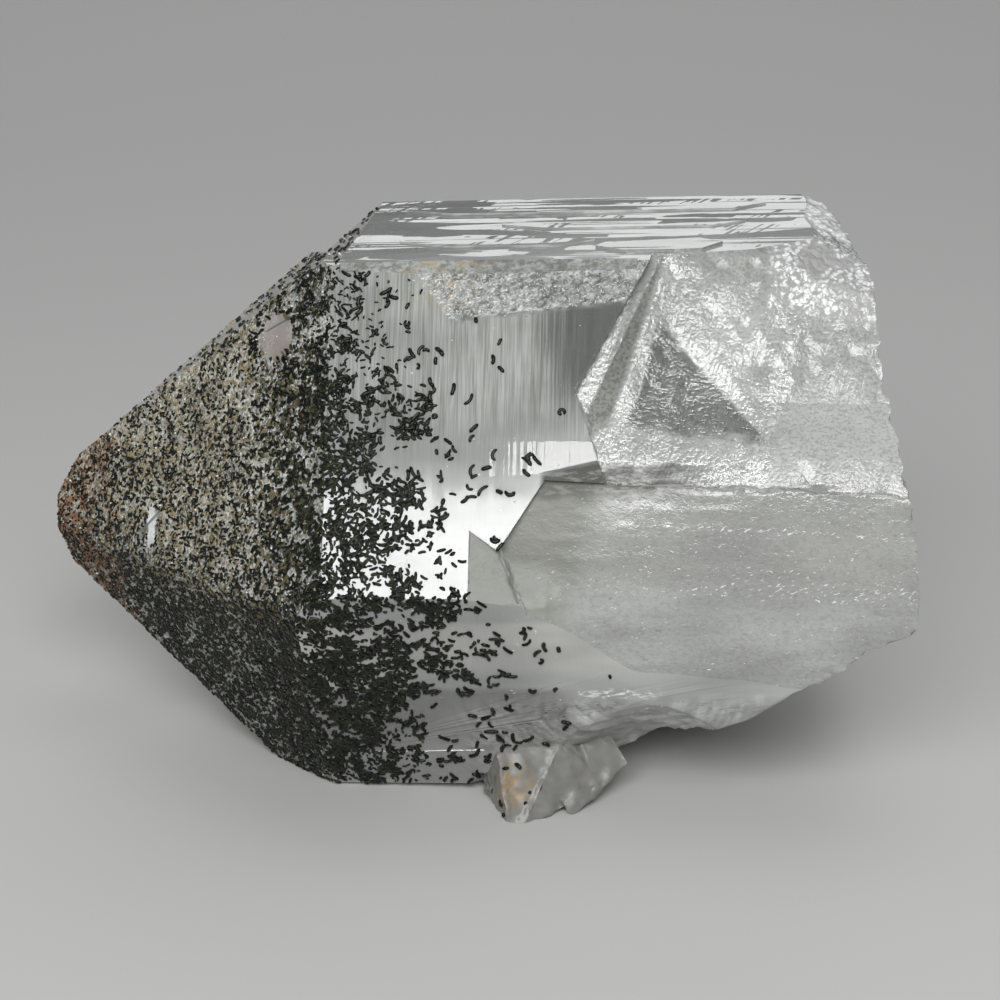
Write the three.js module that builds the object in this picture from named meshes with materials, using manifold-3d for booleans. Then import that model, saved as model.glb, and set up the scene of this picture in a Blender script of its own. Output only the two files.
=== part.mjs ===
// A stubby himalayan quartz crystal: a six-sided prism with a six-sided point, broken off at its root.
// It lies on its under side with the point to -X. It touches the ground along the edge where the prism
// turns into the point, under a stained wedge at the front and under a broken foot at the back.
// Millimetres, +Z up. The crystal is shaped with its long axis level, then tipped and set on the ground.
import * as THREE from 'three';
import { mergeVertices } from 'three/addons/utils/BufferGeometryUtils.js';
import { ConvexGeometry } from 'three/addons/geometries/ConvexGeometry.js';
import Module from 'manifold-3d';

const wasm = await Module();
wasm.setup();

// Driving dimensions, mm and degrees. Distances are from a point on the long axis, near the middle.
const blockSize = 240; // every cutting block reaches far past the crystal
const reliefSpan = 84; // width of a rough cutting face
const pointFaceLean = 51.8; // between a point face's normal and the long axis, the same on every quartz
const dip = 2.675; // the point lies lower than the broken root
const groundLevel = -19.55; // height of the ground under the long axis, before the origin is moved
const faces = [
  { turn: 0, side: 23.83, point: 24.8 }, // top
  { turn: 60, side: 24.34, point: 25.4 }, // front, above
  { turn: 120, side: 23.07, point: 25.9 }, // front, below
  { turn: 180, side: 18.8, point: 25.9 }, // under
  { turn: 240, side: 20.4, point: 24.1 }, // back, below
  { turn: 300, side: 18.82, point: 21.2 }, // back, above
];
const upperLayerRise = 0.8; // the two upper point faces grew on in one more layer, short of the prism
const upperLayerEnd = { normal: [0.96, 0.28, 0], distance: -13.5 };

const tipBruise = { normal: [-0.99, -0.12, 0.05], distance: 37.5, relief: 0.25, rounding: 0.035 };
const rootBreak = { normal: [0.978, 0.2, 0.041], distance: 29.1, relief: 0.7 };
const rootTopBreak = { normal: [0.5, 0.03, 0.866], distance: 33.75, relief: 0.3 };
const frostedBreak = { normal: [0.34, -0.42, 0.84], distance: 32.3, relief: 0.4 };
const undersideBreak = { normal: [0.48, -0.08, -0.87], distance: 21.0, relief: 0.7 };
const scoopBreak = { normal: [0.35, -0.55, -0.76], distance: 22.8, relief: 0.45, end: 2.0, flare: 0.06 };
const backBreak = { normal: [0.62, 0.74, -0.26], distance: 25.6, relief: 0.6 };

const contactNormal = [0.15, -0.855, 0.494]; // the front face's own direction, turned towards the root
const contactDistance = 24.85;
const contactRim = { normal: [-0.85, 0, 0.527], distance: 0.37 };
const contactRimTurn = { normal: [-0.928, 0, -0.371], distance: -13.7 };
const contactFoot = -2.2; // where the contact face ends, measured up the face
const stripDepth = 0.3; // the smooth strip inside the rim lies this much deeper
const ridgeLean = 0.32; // the contact ridges run down and towards the point by this much
const firstRidge = 10.45; // where the first ridge crosses the long axis
const panelSlope = 1.16; // the lower panel's far edge
const panelEdge = 27.6;
const panelDepth = 0.3;
const crest = { height: 0.3, width: 0.5, past: 0.3 }; // the bright ridge at the strip's side
const ridges = { height: 0.22, width: 2.6, length: 30 };
const fineRidges = { height: 0.14, width: 1.1, length: 6 };
const ripples = { height: 0.12, width: 0.9, length: 1.1 };
const footFlare = { slope: 0.13, from: 9, reach: 5.5 }; // the face sinks towards its lower root corner

const bellyDepth = 21.2; // the milky belly's upper and lower ends lie this far in front of the axis
const bellyBulge = 3.6;
const bellyMiddle = 0.6;
const bellyReach = 10.4;
const bellyThinning = 0.72; // the bulge's share that is left at the broken root
const bellyFlow = { height: 0.16, stretch: 1.6 }; // long low waves along the belly
const bellyBlend = { length: 5.5, rise: 1.7, edge: 5.04, slope: 0.42 }; // it runs into the lower front
const bellyTop = { normal: [0.05, 0, 0.9987], distance: 9.4 };
const bellyBottom = -10.4;
const bellyEdge = { normal: [-0.808, 0, 0.589], distance: 0 };
const bellyLowEdge = { normal: [-0.922, 0, -0.387], distance: -4.65 };

const cornerFacet = { normal: [0.2, -0.86, 0.47], distance: 24.2, from: 1.0, floor: 0.6 };
const edgeBevel = { normal: [0, -0.5, 0.866], distance: 27.45, relief: 0.12, from: -9.6, to: 13.4 };
const clearPit = { spot: [-14.7, -13.7, 17.7], width: 3.0, height: 3.6, depth: 0.28, roll: 12 };
const brightPit = { spot: [-27.0, -11.7, 1.9], width: 0.8, height: 3.2, depth: 0.3, roll: 30 };

// Long flat plates left by growth on the top face: ends along X, sides along Y, and how far they rise.
const topPlates = [
  { from: -7.2, to: 22.4, near: 2.4, far: 6.2, rise: 0.16 },
  { from: 1.5, to: 21.0, near: -3.4, far: -0.4, rise: 0.13 },
  { from: -6.0, to: 9.5, near: -9.2, far: -5.8, rise: 0.14 },
  { from: 9.8, to: 19.6, near: -11.8, far: -7.6, rise: 0.2 },
];
const backPlates = [
  { turn: 300, from: -4.0, to: 14.0, near: -6.0, far: 1.5, rise: 0.3 },
  { turn: 240, from: -7.0, to: 6.0, near: -3.5, far: 5.0, rise: 0.35 },
];

function radians(degrees) {
  return THREE.MathUtils.degToRad(degrees);
}

// Smooth seeded noise between -1 and 1, for every broken or grown-against surface.
function lattice(i, j, seed) {
  let h = Math.imul(i, 374761393) + Math.imul(j, 668265263) + Math.imul(seed, 1274126177);
  h = Math.imul(h ^ (h >>> 13), 1274126177);
  h ^= h >>> 16;
  return (h >>> 0) / 2147483648 - 1;
}

function noise(u, v, seed) {
  const i = Math.floor(u);
  const j = Math.floor(v);
  const a = THREE.MathUtils.smoothstep(u - i, 0, 1);
  const b = THREE.MathUtils.smoothstep(v - j, 0, 1);
  const low = THREE.MathUtils.lerp(lattice(i, j, seed), lattice(i + 1, j, seed), a);
  const high = THREE.MathUtils.lerp(lattice(i, j + 1, seed), lattice(i + 1, j + 1, seed), a);
  return THREE.MathUtils.lerp(low, high, b);
}

function broken(u, v, size, seed) {
  const coarse = noise(u / 9, v / 9, seed);
  const middle = noise(u / 4.2 + 7, v / 4.2, seed + 1);
  const fine = noise(u / 1.9, v / 1.9 + 3, seed + 2);
  return size * (coarse + 0.5 * middle + 0.28 * fine);
}

function toSolid(geometry) {
  const bare = geometry.index ? geometry.clone() : geometry;
  bare.deleteAttribute('normal');
  bare.deleteAttribute('uv');
  const merged = mergeVertices(bare, 1e-4);
  const vertProperties = new Float32Array(merged.attributes.position.array);
  const triVerts = new Uint32Array(merged.index.array);
  return new wasm.Manifold(new wasm.Mesh({ numProp: 3, vertProperties, triVerts }));
}

function toGeometry(solid) {
  const mesh = solid.getMesh();
  const geometry = new THREE.BufferGeometry();
  geometry.setAttribute('position', new THREE.BufferAttribute(mesh.vertProperties, 3));
  geometry.setIndex(new THREE.BufferAttribute(mesh.triVerts, 1));
  return geometry;
}

// Axes lying on a plane: u runs along +X as nearly as it can, v completes the set.
function planeAxes(normal) {
  const n = new THREE.Vector3(...normal).normalize();
  const along = Math.abs(n.x) > 0.9 ? new THREE.Vector3(0, 1, 0) : new THREE.Vector3(1, 0, 0);
  const u = along.addScaledVector(n, -along.dot(n)).normalize();
  const v = new THREE.Vector3().crossVectors(n, u);
  return { u, v, n };
}

// A block that fills everything beyond a plane. A relief function lifts or sinks its near face.
// The grid of that face can be sheared, so that its columns follow slanting ridges.
function beyond({ normal, distance, shear = 0 }, relief = null, spacing = 1.5, span = reliefSpan) {
  const size = relief ? span : blockSize;
  const steps = relief ? Math.round(span / spacing) : 1;
  const geometry = new THREE.BoxGeometry(size, size, size, steps, steps, 1);
  const { u, v, n } = planeAxes(normal);
  const spot = geometry.attributes.position;
  for (let i = 0; i < spot.count; i += 1) {
    const nearFace = spot.getZ(i) < 0;
    spot.setX(i, spot.getX(i) + shear * spot.getY(i));
    const lift = relief && nearFace ? relief(spot.getX(i), spot.getY(i)) : 0;
    spot.setZ(i, spot.getZ(i) + lift);
  }
  const placed = new THREE.Matrix4().makeBasis(u, v, n);
  placed.setPosition(n.clone().multiplyScalar(distance + size / 2));
  geometry.applyMatrix4(placed);
  return toSolid(geometry);
}

function sideNormal(turn) {
  return new THREE.Vector3(0, -Math.sin(radians(turn)), Math.cos(radians(turn)));
}

function pointNormal(turn) {
  const lean = radians(pointFaceLean);
  return sideNormal(turn).multiplyScalar(Math.sin(lean)).add(new THREE.Vector3(-Math.cos(lean), 0, 0));
}

// The sound crystal: six prism faces and six point faces, cut from a block.
function crystalForm(layerRise) {
  let form = toSolid(new THREE.BoxGeometry(120, 120, 120));
  for (const face of faces) {
    const upper = face.turn === 0 || face.turn === 300;
    const rise = upper ? layerRise : 0;
    form = form.subtract(beyond({ normal: sideNormal(face.turn).toArray(), distance: face.side }));
    form = form.subtract(beyond({ normal: pointNormal(face.turn).toArray(), distance: face.point + rise }));
  }
  return form;
}

// The extra layer on the upper point faces.
function upperLayer() {
  return crystalForm(upperLayerRise).subtract(beyond(upperLayerEnd));
}

// A thin plate with tapering, slightly crooked ends, lying on the prism face at the given turn.
function growthPlate({ turn = 0, from, to, near, far, rise }, side, index) {
  const middle = (near + far) / 2;
  const taper = Math.min(4, (to - from) / 4);
  const sway = 0.35 * lattice(index, turn, 5);
  const outline = new THREE.Shape();
  outline.moveTo(from, middle + sway);
  outline.lineTo(from + taper, near);
  outline.lineTo((from + to) / 2, near + 0.3 * sway);
  outline.lineTo(to - 0.6 * taper, near - sway);
  outline.lineTo(to, middle - sway);
  outline.lineTo(to - taper, far);
  outline.lineTo((from + to) / 2 - 1, far - sway);
  outline.lineTo(from + 0.5 * taper, far - 0.4);
  const sunk = 1.5;
  const plate = new THREE.ExtrudeGeometry(outline, { depth: sunk + rise, bevelEnabled: false });
  const { u, v, n } = planeAxes(sideNormal(turn).toArray());
  const placed = new THREE.Matrix4().makeBasis(u, v, n);
  placed.setPosition(n.clone().multiplyScalar(side - sunk));
  plate.applyMatrix4(placed);
  return toSolid(plate);
}

function bluntTip(form) {
  const relief = (u, v) => broken(u, v, tipBruise.relief, 11) - tipBruise.rounding * (u * u + v * v);
  return form.subtract(beyond(tipBruise, relief, 1.1, 24));
}

// The face that grew against a neighbour: diagonal ridges, a smooth strip by its rim, a tilted panel.
function contactRelief(u, v) {
  const x = u + contactNormal[0] * contactDistance;
  const across = x - ridgeLean * v;
  const past = THREE.MathUtils.smoothstep(across - firstRidge, -0.5, 0.4);
  const fromCrest = (across - firstRidge - crest.past) / crest.width;
  const wide = ridges.height * Math.abs(noise(across / ridges.width, v / ridges.length, 21));
  const narrow = fineRidges.height * noise(across / fineRidges.width, v / fineRidges.length, 22);
  const rippled = ripples.height * noise(u / ripples.width, v / ripples.length, 23);
  const raised = crest.height * Math.exp(-(fromCrest ** 2)) + wide + narrow + rippled;
  const inPanel = THREE.MathUtils.smoothstep(panelEdge - v - panelSlope * x, -0.5, 0.5);
  const sunk = panelDepth * inPanel * THREE.MathUtils.clamp((across - firstRidge) / 8, 0, 1);
  const nearFoot = THREE.MathUtils.smoothstep(contactFoot + footFlare.reach - v, 0, 6);
  const flare = footFlare.slope * nearFoot * Math.max(0, x - footFlare.from);
  return past * (raised - sunk) - (1 - past) * stripDepth + flare;
}

function contactFace(form) {
  const face = { normal: contactNormal, distance: contactDistance, shear: ridgeLean };
  const cutter = beyond(face, contactRelief, 0.95)
    .subtract(beyond(contactRim))
    .subtract(beyond(contactRimTurn))
    .subtract(beyond({ normal: bellyTop.normal.map((x) => -x), distance: 0.2 - bellyTop.distance }));
  return form.subtract(cutter);
}

// The milky belly that rounds off the front edge between the contact face and the underside.
function bellyRelief(u, v) {
  const height = v - bellyMiddle;
  const rounding = 1 - (height / bellyReach) ** 2;
  const fade = THREE.MathUtils.mapLinear(u, 3, 34, 1, bellyThinning);
  const fromEdge = u - (bellyBlend.edge - bellyBlend.slope * v);
  const low = THREE.MathUtils.smoothstep(3 - v, 0, 4);
  const near = THREE.MathUtils.smoothstep(bellyBlend.length - fromEdge, 0, bellyBlend.length);
  const blend = bellyBlend.rise * low * near;
  const waves = broken(u / bellyFlow.stretch, v, bellyFlow.height, 31);
  return bellyBulge * rounding * fade + blend + waves;
}

function milkyBelly(form) {
  const cutter = beyond({ normal: [0, -1, 0], distance: bellyDepth }, bellyRelief, 1.1)
    .subtract(beyond(bellyTop))
    .subtract(beyond({ normal: [0, 0, -1], distance: -bellyBottom }))
    .subtract(beyond(bellyEdge))
    .subtract(beyond(bellyLowEdge));
  return form.subtract(cutter);
}

function roughBreak(form, face, seed, spacing = 1.6) {
  const { end = 0, flare = 0 } = face;
  const relief = (u, v) => broken(u, v, face.relief, seed) + flare * Math.max(0, u - end) ** 2;
  return form.subtract(beyond(face, relief, spacing));
}

// A small facet, seen beside the belly, where the front edge is stepped back.
function steppedFacet(form) {
  const cutter = beyond(cornerFacet)
    .subtract(beyond({ normal: [-1, 0, 0], distance: -cornerFacet.from }))
    .subtract(beyond({ normal: [0, 0, -1], distance: -cornerFacet.floor }))
    .subtract(beyond({ normal: [0.54, 0, 0.842], distance: 5.42 }));
  return form.subtract(cutter);
}

// The sugary band that takes off the sharp edge between the top and the front face.
function sugaryEdge(form) {
  const relief = (u, v) => broken(u, v, edgeBevel.relief, 41);
  const cutter = beyond(edgeBevel, relief, 1.1)
    .subtract(beyond({ normal: [-1, 0, 0], distance: -edgeBevel.from }))
    .subtract(beyond({ normal: [1, 0, 0], distance: edgeBevel.to }));
  return form.subtract(cutter);
}

// A shallow pit with a straight outline in the front point face.
function pointPit(form, pit) {
  const shape = new THREE.BoxGeometry(pit.width, pit.height, 2 * pit.depth);
  const n = pointNormal(60);
  const across = new THREE.Vector3(1, 0, 0).cross(n).normalize();
  const down = new THREE.Vector3().crossVectors(n, across);
  const placed = new THREE.Matrix4().makeBasis(across, down, n);
  placed.multiply(new THREE.Matrix4().makeRotationZ(radians(pit.roll)));
  const spot = new THREE.Vector3(...pit.spot);
  spot.addScaledVector(n, faces[1].point - spot.dot(n));
  placed.setPosition(spot);
  shape.applyMatrix4(placed);
  return form.subtract(toSolid(shape));
}

// A lump from a few corners, turned into a closed convex solid.
function lump(corners) {
  return toSolid(new ConvexGeometry(corners.map((corner) => new THREE.Vector3(...corner))));
}

// The stained little wedge that props the front edge: a bigger and a smaller piece grown together.
function frontWedge() {
  return lump([
    [-0.6, -14.9, -18.4],
    [1.2, -17.9, -15.2],
    [2.4, -21.9, -20.6],
    [3.4, -21.8, -20.4],
    [6.0, -19.3, -19.4],
    [6.4, -18.2, -14.2],
    [9.6, -16.4, -18.4],
    [8.4, -12.0, -14.0],
    [2.6, -9.0, -20.6],
    [5.2, -12.0, -20.6],
  ]).add(lump([
    [4.8, -18.6, -16.4],
    [6.6, -19.4, -19.2],
    [7.3, -19.3, -20.0],
    [9.6, -16.8, -18.8],
    [11.4, -15.2, -17.2],
    [9.8, -14.6, -14.4],
    [7.0, -12.4, -19.2],
  ]));
}

// The blunt broken foot under the back of the root.
function backFoot() {
  return lump([
    [4.6, 1.8, -17.6],
    [5.6, 2.6, -20.9],
    [12.6, 3.2, -20.9],
    [14.8, 4.4, -16.4],
    [12.2, 10.6, -20.9],
    [14.0, 12.6, -16.2],
    [6.0, 11.4, -20.9],
    [4.4, 13.0, -17.4],
  ]);
}

function setOnGround(solid) {
  const geometry = toGeometry(solid);
  geometry.applyMatrix4(new THREE.Matrix4().makeRotationY(-radians(dip)));
  const ground = beyond({ normal: [0, 0, -1], distance: -groundLevel });
  const cut = toGeometry(toSolid(geometry).subtract(ground));
  cut.computeBoundingBox();
  const box = cut.boundingBox;
  cut.translate(-(box.min.x + box.max.x) / 2, -(box.min.y + box.max.y) / 2, -box.min.z);
  return cut;
}

function shapeCrystal() {
  let form = crystalForm(0).add(upperLayer());
  for (const [index, plate] of topPlates.entries()) {
    form = form.add(growthPlate(plate, faces[0].side, index));
  }
  for (const [index, plate] of backPlates.entries()) {
    const side = faces.find((face) => face.turn === plate.turn).side;
    form = form.add(growthPlate(plate, side, index + 9));
  }
  form = sugaryEdge(form);
  form = contactFace(form);
  form = milkyBelly(form);
  form = steppedFacet(form);
  form = pointPit(form, clearPit);
  form = pointPit(form, brightPit);
  form = roughBreak(form, rootBreak, 51);
  form = roughBreak(form, rootTopBreak, 61);
  form = roughBreak(form, frostedBreak, 71, 1.0);
  form = roughBreak(form, undersideBreak, 81);
  form = roughBreak(form, scoopBreak, 91, 1.4);
  form = roughBreak(form, backBreak, 101, 2.0);
  form = bluntTip(form);
  return form.add(frontWedge()).add(backFoot());
}

const quartz = new THREE.MeshStandardMaterial({
  name: 'quartz',
  color: 0xa9aaa6,
  roughness: 0.12,
  metalness: 0,
});

const crystal = new THREE.Mesh(setOnGround(shapeCrystal()), quartz);
crystal.name = 'quartz_crystal';

const object = new THREE.Group();
object.add(crystal);

export default object;
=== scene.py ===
# Looks of a himalayan quartz crystal: clear and milky quartz with chlorite grains in its skin.
import math

import bmesh
import bpy
import numpy as np
from mathutils import Matrix, Vector, noise
from mathutils.bvhtree import BVHTree


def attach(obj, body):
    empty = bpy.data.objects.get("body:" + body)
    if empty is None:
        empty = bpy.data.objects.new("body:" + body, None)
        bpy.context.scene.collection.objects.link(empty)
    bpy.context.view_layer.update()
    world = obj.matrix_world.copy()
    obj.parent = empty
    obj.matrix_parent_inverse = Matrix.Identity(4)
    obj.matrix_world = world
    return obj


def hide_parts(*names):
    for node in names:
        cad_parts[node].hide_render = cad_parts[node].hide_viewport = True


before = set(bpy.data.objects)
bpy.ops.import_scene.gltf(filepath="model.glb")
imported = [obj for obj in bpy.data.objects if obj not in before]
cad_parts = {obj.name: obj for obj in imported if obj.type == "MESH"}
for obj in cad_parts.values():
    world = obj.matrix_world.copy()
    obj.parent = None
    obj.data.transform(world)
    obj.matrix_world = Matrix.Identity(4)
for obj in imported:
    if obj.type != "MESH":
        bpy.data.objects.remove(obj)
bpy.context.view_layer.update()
scene = bpy.context.scene
millimetre = 0.001

# The crystal's own axes: its long axis is level there, the point at -x, in millimetres.
crystalAxes = {"dip": 2.675, "middle": (1.37, 2.36, 19.55)}
standing = Matrix.Translation(Vector(crystalAxes["middle"]) * millimetre) @ Matrix.Rotation(
    -math.radians(crystalAxes["dip"]), 4, "Y") @ Matrix.Scale(millimetre, 4)
lying = standing.inverted()
frontUp = Vector((0, 0.5, 0.866))  # up along the front face


def smoothStep(value, low, high):
    t = min(1.0, max(0.0, (value - low) / (high - low)))
    return t * t * (3 - 2 * t)


class Wire:
    # One output socket of a node tree, with Python's operators.
    def __init__(self, shader, socket):
        self.shader = shader
        self.socket = socket

    def combine(self, operation, other, flipped=False):
        pair = (other, self) if flipped else (self, other)
        wide = any(isinstance(x, Wire) and x.socket.type in ("VECTOR", "RGBA") for x in pair)
        kind = "ShaderNodeVectorMath" if wide else "ShaderNodeMath"
        values = [(x, x, x) if wide and isinstance(x, (int, float)) else x for x in pair]
        return self.shader.node(kind, {"operation": operation}, {0: values[0], 1: values[1]})

    def __add__(self, other):
        return self.combine("ADD", other)

    def __radd__(self, other):
        return self.combine("ADD", other, True)

    def __sub__(self, other):
        return self.combine("SUBTRACT", other)

    def __rsub__(self, other):
        return self.combine("SUBTRACT", other, True)

    def __mul__(self, other):
        return self.combine("MULTIPLY", other)

    def __rmul__(self, other):
        return self.combine("MULTIPLY", other, True)


class Shader:
    # A material's node tree, built by calls.
    def __init__(self, name):
        self.material = bpy.data.materials.new(name)
        self.material.use_nodes = True
        self.tree = self.material.node_tree
        self.tree.nodes.clear()

    def node(self, kind, settings=None, sockets=None, output=0):
        made = self.tree.nodes.new(kind)
        for key, value in (settings or {}).items():
            setattr(made, key, value)
        for key, value in (sockets or {}).items():
            if isinstance(value, Wire):
                self.tree.links.new(value.socket, made.inputs[key])
            else:
                made.inputs[key].default_value = value
        return Wire(self, made.outputs[output])

    def place(self):
        return self.node("ShaderNodeTexCoord", output="Object")

    def turned(self, vector, turn, scale=(1, 1, 1)):
        return self.node("ShaderNodeMapping", {}, {
            "Vector": vector, "Rotation": [math.radians(x) for x in turn], "Scale": scale})

    def noise(self, vector, scale, detail=2.0, roughness=0.5, distortion=0.0):
        return self.node("ShaderNodeTexNoise", {}, {
            "Vector": vector, "Scale": scale, "Detail": detail, "Roughness": roughness,
            "Distortion": distortion})

    def smooth(self, value, low, high, toLow=0.0, toHigh=1.0):
        return self.node("ShaderNodeMapRange", {"interpolation_type": "SMOOTHSTEP"}, {
            "Value": value, "From Min": low, "From Max": high, "To Min": toLow, "To Max": toHigh})

    def axis(self, vector, name):
        return self.node("ShaderNodeSeparateXYZ", {}, {0: vector}, name)

    def join(self, x, y, z=0.0):
        return self.node("ShaderNodeCombineXYZ", {}, {0: x, 1: y, 2: z})

    def dot(self, vector, way):
        return self.node("ShaderNodeVectorMath", {"operation": "DOT_PRODUCT"},
                         {0: vector, 1: tuple(way)}, "Value")

    def away(self, vector, spot):
        return self.node("ShaderNodeVectorMath", {"operation": "DISTANCE"}, {0: vector, 1: spot}, "Value")

    def cells(self, vector, scale):
        return self.node("ShaderNodeTexVoronoi", {}, {"Vector": vector, "Scale": scale}, "Distance")

    def band(self, value, middle, width, soft):
        # 1 within half a width of the middle, fading to 0 over the soft length.
        off = self.node("ShaderNodeMath", {"operation": "ABSOLUTE"}, {0: value - middle})
        return self.smooth(off, width / 2 + soft, width / 2)

    def along(self, way, amount):
        return self.join(*[amount * part for part in way])

    def tilted(self, lean):
        # The face's own normal, leaned by a small vector.
        normal = self.node("ShaderNodeNewGeometry", output="Normal") + lean
        return self.node("ShaderNodeVectorMath", {"operation": "NORMALIZE"}, {0: normal})

    def blend(self, share, first, second):
        return self.node("ShaderNodeMix", {"data_type": "RGBA"}, {
            0: share, 6: colour(first), 7: colour(second)}, 2)

    def bump(self, height, distance, normal=None):
        sockets = {"Height": height, "Distance": distance, "Strength": 1.0}
        if normal:
            sockets["Normal"] = normal
        return self.node("ShaderNodeBump", {}, sockets)

    def finish(self, surface, volume=None):
        end = self.tree.nodes.new("ShaderNodeOutputMaterial")
        self.tree.links.new(surface.socket, end.inputs["Surface"])
        if volume:
            self.tree.links.new(volume.socket, end.inputs["Volume"])
        return self.material


def colour(value):
    return (*value, 1.0) if isinstance(value, tuple) and len(value) == 3 else value


def inCrystal(shader):
    # Millimetres along the crystal's own axes, for every material on it.
    middle = [x * millimetre for x in crystalAxes["middle"]]
    level = shader.turned(shader.place() - tuple(middle), turn=(0, crystalAxes["dip"], 0))
    return level * (1 / millimetre)


# Clear quartz, and the cloudy quartz that lies under its surface.
clearQuartz = {
    "tint": (0.95, 0.96, 0.94),
    "ior": 1.544,
    "absorbTint": (0.80, 0.83, 0.80),
    "absorb": 28.0,
    "milkTint": (0.52, 0.53, 0.515),
}

# One look for each skin of the crystal. Milk is the share of its surface that shows cloudy quartz,
# and cloud is how far that share wanders.
faceLooks = {
    "streakedTop": {"milk": 0.72, "cloud": 0.14, "gloss": 0.03, "lean": 0.035},
    "clearFront": {"milk": 0.66, "cloud": 0.16, "gloss": 0.03, "lean": 0.012},
    "rearSide": {"milk": 0.90, "cloud": 0.20, "gloss": 0.25},
    "pointFace": {"milk": 0.70, "cloud": 0.20, "gloss": 0.10, "speckle": 0.80},
    "contact": {"milk": 0.70, "cloud": 0.14, "gloss": 0.05, "crumple": 0.00004},
    "belly": {"milk": 0.82, "cloud": 0.12, "gloss": 0.16, "crumple": 0.00004},
    "sugary": {"milk": 0.70, "cloud": 0.20, "gloss": 0.12, "crumple": 0.00010},
    "frosted": {"milk": 0.86, "cloud": 0.10, "gloss": 0.12, "crumple": 0.00012},
    "broken": {"milk": 0.88, "cloud": 0.20, "gloss": 0.22, "crumple": 0.00010},
}


def inWorld(way):
    # A direction along the crystal's own axes, as it stands.
    return tuple(Matrix.Rotation(-math.radians(crystalAxes["dip"]), 3, "Y") @ Vector(way))


# Tones that several skins share: painted shade for hollows and seams, painted shade for the top face's
# sheen, ochre stain, froth and what lies under it.
quartzTones = {
    "hollow": (0.11, 0.11, 0.095),
    "smoky": (0.24, 0.245, 0.23),
    "ochre": (0.50, 0.42, 0.24),
    "froth": (0.88, 0.89, 0.89),
    "underFroth": (0.33, 0.33, 0.32),
}

# The middle of the clear rosy window in the upper point face, and of the bright ledge near the tip.
roseWindow = (-14.9, -12.6, 17.7)
brightLedge = (-26.9, -11.8, 1.9)
# The rusty spot on the small wedge, and where the curved cracks of the broken quartz spread from.
rustSpot = (2.6, -19.5, -17.4)
crackStart = (12.0, -20.0, -8.0)


def paint(s, skin, share, tint):
    # Lays a colour over a skin's cloudy quartz.
    skin["milkColour"] = s.blend(share, skin["milkColour"], tint)


def topSkin(s, look, spot, skin):
    # Long lens-shaped plates along the crystal and groups of short cross lines. Each plate leans a
    # little and mirrors another part of the studio, so it looks lighter or darker.
    x, y = s.axis(spot, "X"), s.axis(spot, "Y")
    level = y + 0.25 * s.noise(s.join(x * 0.10, y * 0.05), 1.0, 1)
    jagged = level + 0.12 * s.noise(s.join(x * 1.3, 3.0), 1.0, 1)
    slanted = x - 0.42 * y
    tilt = 0.035 * s.smooth(x, 8, -8) - 0.035 * s.smooth(x, 4, 14)
    plates = s.noise(s.join(x * 0.055, jagged * 0.36, 2.0), 1.0, 0) + tilt
    plates = s.smooth(plates, 0.572, 0.579)
    step = s.node("ShaderNodeTexVoronoi", {"distance": "CHEBYCHEV"}, {
        "Vector": s.join(slanted * 0.17, jagged * 0.75, 2.0), "Scale": 1.0}, "Color")
    steps = s.smooth(s.dot(step, (1, 0, 0)) + 4 * tilt, 0.76, 0.77)
    thin = s.smooth(s.noise(s.join(x * 0.06, jagged * 1.7, 7.0), 1.0, 0) + 0.6 * tilt, 0.625, 0.635)
    group = s.smooth(s.noise(s.join(x * 0.11, level * 0.42, 3.0), 1.0, 0), 0.565, 0.58)
    cross = s.smooth(s.noise(s.join(slanted * 2.1, level * 0.22, 5.0), 1.0, 1, 0.3), 0.55, 0.58) * group
    end = s.smooth(s.noise(s.join(slanted * 1.7, 9.0), 1.0, 1), 0.50, 0.53)
    end = end * s.smooth(x - 0.5 * y, -5.0, -7.5)
    amount = 1 - (1 - plates) * (1 - steps) * (1 - thin) * (1 - cross) * (1 - end)
    skin["normal"] = s.tilted(s.along((0.004, look["lean"], 0.0), amount))
    # Painted shade: the top is painted darker in patches towards its left end and on the leaning plates.
    left = s.smooth(x, 8, -6)
    patchy = s.smooth(s.noise(s.join(x * 0.22, y * 0.7, 1.0), 1.0, 3, 0.6), 0.45, 0.60)
    paint(s, skin, patchy * (0.15 + 0.45 * left), quartzTones["smoky"])
    paint(s, skin, amount * (0.28 + 0.40 * left), quartzTones["smoky"])


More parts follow.
